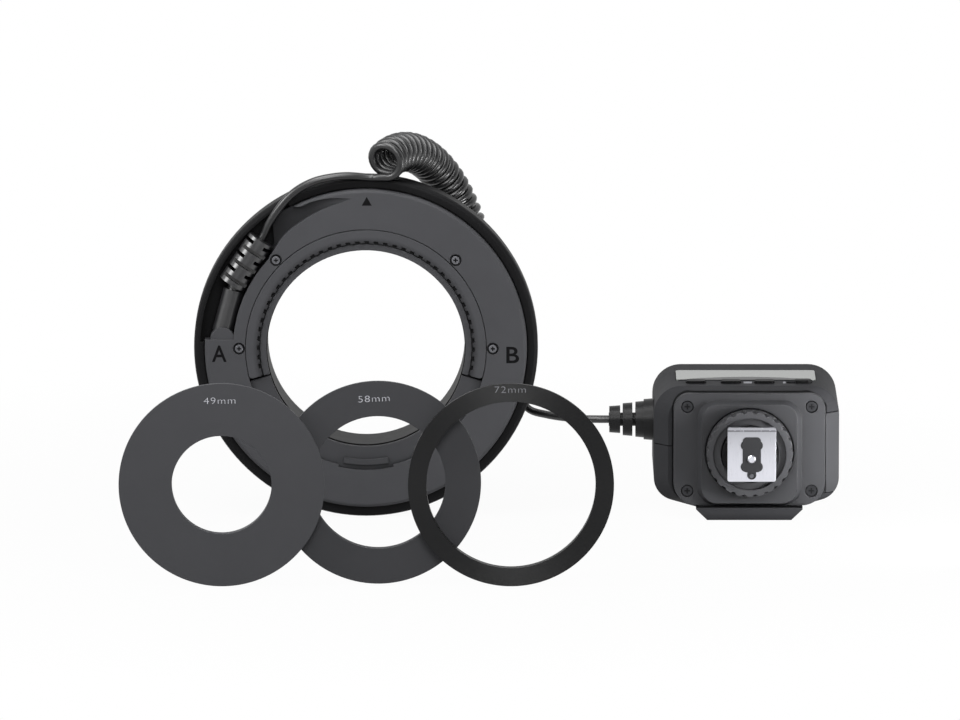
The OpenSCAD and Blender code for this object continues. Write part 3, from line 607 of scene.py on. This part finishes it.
def springMesh():
    low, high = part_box("latch_springs")
    wire = springs["wire"] / 2 * mm
    radius = (high.y - low.y) / 2 - wire
    length = high.z - low.z - 2 * wire
    steps = springs["turns"] * springs["stepsPerTurn"]
    sides = springs["sides"]
    points, faces = [], []
    for place in springs["places"]:
        centre = Vector((place * mm, (low.y + high.y) / 2, low.z + wire))
        first = len(points)
        for i in range(steps + 1):
            angle = 2 * math.pi * i / springs["stepsPerTurn"]
            outward = Vector((math.cos(angle), math.sin(angle), 0))
            middle = centre + outward * radius + Vector((0, 0, length * i / steps))
            for k in range(sides):
                around = 2 * math.pi * k / sides
                points.append(middle + (outward * math.cos(around) + Vector((0, 0, math.sin(around)))) * wire)
        for i in range(steps):
            for k in range(sides):
                a, b = first + i * sides + k, first + i * sides + (k + 1) % sides
                faces.append((a, b, b + sides, a + sides))
        faces.append(tuple(range(first, first + sides)))
        faces.append(tuple(range(first + steps * sides, first + (steps + 1) * sides)))
    mesh = bpy.data.meshes.new("latchSprings")
    mesh.from_pydata(points, [], faces)
    shape = bmesh.new()
    shape.from_mesh(mesh)
    bmesh.ops.recalc_face_normals(shape, faces=shape.faces)
    shape.to_mesh(mesh)
    shape.free()
    mesh.polygons.foreach_set("use_smooth", [True] * len(mesh.polygons))
    return mesh


def makeSprings():
    obj = addPiece("latchSprings", springMesh(), "steel", "flash")
    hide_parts("latch_springs")
    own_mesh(obj)


makeSprings()
print("springs done")


# Printed marks: a capital takes capShare of the font's size, and lift keeps the letters above their face
printing = {
    "capShare": 0.69,
    "spacing": 1.12,
    "halfThick": 0.02,
    "lift": 0.01,
    "flatThick": 0.04,
}


def printWords(words, height, place, look, body, wide=1.0, thin=0.0, turn=0.0):
    data = bpy.data.curves.new(words, "FONT")
    data.body = words
    data.size = height * mm / printing["capShare"]
    data.align_x = "CENTER"
    data.align_y = "CENTER"
    data.extrude = printing["halfThick"] * mm
    data.offset = -thin * mm
    data.space_character = printing["spacing"]
    data.resolution_u = 6
    obj = bpy.data.objects.new(words, data)
    obj.rotation_euler = (math.pi / 2, -turn, 0)
    obj.scale = (wide, 1, 1)
    obj.location = place
    bpy.context.collection.objects.link(obj)
    bpy.context.view_layer.update()
    shown = obj.evaluated_get(bpy.context.evaluated_depsgraph_get())
    mesh = bpy.data.meshes.new_from_object(shown)
    mesh.transform(obj.matrix_world)
    bpy.data.objects.remove(obj)
    return addPiece("print" + words.title(), mesh, look, body)


def shapeMesh(name, outlines, depth):
    shape = bmesh.new()
    for outline in outlines:
        face = shape.faces.new([shape.verts.new(p) for p in outline])
        lifted = bmesh.ops.extrude_face_region(shape, geom=[face])["geom"]
        corners = [part for part in lifted if isinstance(part, bmesh.types.BMVert)]
        bmesh.ops.translate(shape, vec=depth, verts=corners)
    bmesh.ops.recalc_face_normals(shape, faces=shape.faces)
    mesh = bpy.data.meshes.new(name)
    shape.to_mesh(mesh)
    shape.free()
    return mesh


ringLetters = {"height": 2.5, "wide": 1.25, "thin": 0.06}
ringMarks = {
    "adapter_ring_49": {"words": "49mm", "body": "ring_49", "radius": 32, "turn": 1, "look": "inkPale"},
    "adapter_ring_58": {"words": "58mm", "body": "ring_58", "radius": 31.9, "turn": 2.7, "look": "inkPale"},
    "adapter_ring_72": {"words": "72mm", "body": "ring_72", "radius": 36.2, "turn": 0.5, "look": "inkGrey"},
}


def markRings():
    for node, mark in ringMarks.items():
        centre = middleAndHalf(node)[0]
        turn = math.radians(mark["turn"])
        place = Vector((centre.x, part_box(node)[0].y - printing["lift"] * mm, centre.z))
        place += Vector((-math.sin(turn), 0, math.cos(turn))) * mark["radius"] * mm
        printWords(mark["words"], ringLetters["height"], place, mark["look"], mark["body"],
                   ringLetters["wide"], ringLetters["thin"], turn)


coverLetters = {"height": 6.2, "thin": -0.12}
coverMarks = {
    "A": {"place": (-56.4, -2.3), "wide": 0.88},
    "B": {"place": (56.2, -2.8), "wide": 1.1},
}
topArrow = {"middle": 0.4, "top": 59.2, "half": 1.9, "height": 3.4}


def markCover():
    for letter, mark in coverMarks.items():
        place = seen(*mark["place"], coverFace + printing["lift"])
        printWords(letter, coverLetters["height"], place, "inkAndShadeBlack", "flash", mark["wide"],
                   coverLetters["thin"])
    foot = topArrow["top"] - topArrow["height"]
    left, right = topArrow["middle"] - topArrow["half"], topArrow["middle"] + topArrow["half"]
    corners = ((left, foot), (right, foot), (topArrow["middle"], topArrow["top"]))
    triangle = [seen(x, y, coverFace) for x, y in corners]
    mesh = shapeMesh("topArrow", [triangle], Vector((0, -printing["flatThick"] * mm, 0)))
    addPiece("topArrow", mesh, "inkAndShadeBlack", "flash")


# Painted shade: dark crosses laid on the screw heads where their cross recesses lie in shade
crosses = {
    "thick": 0.03,
    "lift": 0.005,
    "coverReach": 0.85,
    "coverHalf": 0.26,
    "coverHead": 1.9,
    "coverAngles": (0, 45, 135, 180),
    "baseReach": 1.1,
    "baseHalf": 0.28,
    "baseHead": 2,
}


def crossAt(centre, reach, half):
    corners = [(half, half), (half, reach), (-half, reach), (-half, half), (-reach, half), (-reach, -half),
               (-half, -half), (-half, -reach), (half, -reach), (half, -half), (reach, -half), (reach, half)]
    return [centre + Vector((x, 0, z)) * mm for x, z in corners]


def addCrosses(name, spots, face, reach, half):
    outlines = [crossAt(Vector((x, face - crosses["lift"] * mm, z)), reach, half) for x, z in spots]
    mesh = shapeMesh(name, outlines, Vector((0, crosses["thick"] * mm, 0)))
    addPiece(name, mesh, "inkAndShadeBlack", "flash")


def shadeScrewCrosses():
    low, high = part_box("cover_screws")
    radius = high.x - crosses["coverHead"] * mm
    angles = [math.radians(angle) for angle in crosses["coverAngles"]]
    spots = [(radius * math.cos(angle), radius * math.sin(angle)) for angle in angles]
    addCrosses("coverCrosses", spots, low.y, crosses["coverReach"], crosses["coverHalf"])
    low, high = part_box("base_screws")
    inset = crosses["baseHead"] * mm
    spots = [(x, z) for x in (low.x + inset, high.x - inset) for z in (low.z + inset, high.z - inset)]
    addCrosses("baseCrosses", spots, low.y, crosses["baseReach"], crosses["baseHalf"])


panelMarks = {
    "halfDeep": 1.8,
    "labelHalf": 1.6,
    "tickHalf": 0.5,
    "tickFromSwitch": 3.2,
}


def markPanel():
    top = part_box("upper_shell")[1].z
    left, right, switch = (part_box(node) for node in ("middle_button", "right_button", "power_switch"))
    label = Vector(((left[1].x + right[0].x) / 2, (left[0].y + left[1].y) / 2, top))
    tick = Vector((switch[0].x - panelMarks["tickFromSwitch"] * mm, label.y, top))
    deep = panelMarks["halfDeep"]
    marks = (("panelLabel", label, panelMarks["labelHalf"]), ("switchTick", tick, panelMarks["tickHalf"]))
    for name, centre, wide in marks:
        corners = ((-wide, -deep), (wide, -deep), (wide, deep), (-wide, deep))
        outline = [centre + Vector((x, y, 0)) * mm for x, y in corners]
        mesh = shapeMesh(name, [outline], Vector((0, 0, printing["flatThick"] * mm)))
        addPiece(name, mesh, "inkGrey", "flash")


markRings()
markCover()
shadeScrewCrosses()
markPanel()
print("marks done")


# Floor: white to the camera, with a little of the paper's own shade near the object
floor = {
    "reach": 12000,
    "gap": 0.05,
    "paper": (0.3, 0.3, 0.3, 1),
    "whiteNear": 0.95,
    "whiteGain": 0.15,
}


def makeFloor():
    reach = floor["reach"] * mm
    height = floorHeight - floor["gap"] * mm
    corners = [(-reach, -reach), (reach, -reach), (reach, reach), (-reach, reach)]
    mesh = bpy.data.meshes.new("floor")
    mesh.from_pydata([(x, y, height) for x, y in corners], [], [(0, 1, 2, 3)])
    look = newLook("floorWhite")
    paper = look.node("ShaderNodeBsdfDiffuse", {}, floor["paper"])
    white = look.node("ShaderNodeEmission", {}, (1, 1, 1, 1), 1.0)
    away = (look.axis("X") * look.axis("X") + look.axis("Y") * look.axis("Y")).math("SQRT")
    camera, glossy, through = look.rays()
    direct = camera.math("MAXIMUM", glossy).math("MAXIMUM", through)
    share = direct * (away * floor["whiteGain"] + floor["whiteNear"]).math("MINIMUM", 1.0)
    look.close(look.node("ShaderNodeMixShader", {}, share, paper, white), "ShaderNodeOutputMaterial")
    mesh.materials.append(look.block)
    obj = bpy.data.objects.new("floor", mesh)
    bpy.context.collection.objects.link(obj)


# Lamps: a narrow one from above, two wide ones from the viewer's side, a small one beside the controller
lamps = {
    "topLight": {"place": (-40, 330, 120), "aim": (0, 30, 0), "size": 280, "power": 0.5, "spread": 90},
    "frontLight": {"place": (30, 300, 600), "aim": (0, -20, 50), "size": 250, "power": 2.1, "spread": 180},
    "leftLight": {"place": (-450, 260, 200), "aim": (0, 0, 0), "size": 250, "power": 2.2, "spread": 180},
    "rightLight": {"place": (245, -30, 75), "aim": (175, -40, 20), "size": 50, "power": 0.37, "spread": 180},
}


def makeLights():
    for name, lamp in lamps.items():
        data = bpy.data.lights.new(name, "AREA")
        data.size = lamp["size"] * mm
        data.energy = lamp["power"]
        data.spread = math.radians(lamp["spread"])
        obj = bpy.data.objects.new(name, data)
        obj.location = seen(*lamp["place"])
        obj.rotation_euler = (seen(*lamp["aim"]) - obj.location).to_track_quat("-Z", "Y").to_euler()
        obj.visible_camera = False
        bpy.context.collection.objects.link(obj)


# World: white to the camera and, behind the object, in reflections. Its light is dim, with more from behind
studio = {
    "dim": 0.12,
    "reflectedMiddle": 0.6,
    "reflectedGain": 2,
    "reflectedLeast": 0.1,
    "behindGain": 1.5,
    "behindShare": 0.4,
}


def makeWorld():
    world = bpy.data.worlds.new("studio")
    look = Look(world)
    dim = look.node("ShaderNodeBackground", {}, (1, 1, 1, 1), studio["dim"])
    white = look.node("ShaderNodeBackground", {}, (1, 1, 1, 1), 1.0)
    camera, glossy, through = look.rays()
    backward = look.axis("Y")
    reflected = backward * studio["reflectedGain"] + studio["reflectedMiddle"]
    reflected = reflected.clamped(studio["reflectedLeast"])
    behind = (backward * studio["behindGain"]).clamped() * studio["behindShare"]
    share = camera.math("MAXIMUM", through).math("MAXIMUM", glossy * reflected).math("MAXIMUM", behind)
    look.close(look.node("ShaderNodeMixShader", {}, share, dim, white), "ShaderNodeOutputWorld")
    bpy.context.scene.world = world


makeFloor()
makeLights()
makeWorld()

print("scene done")
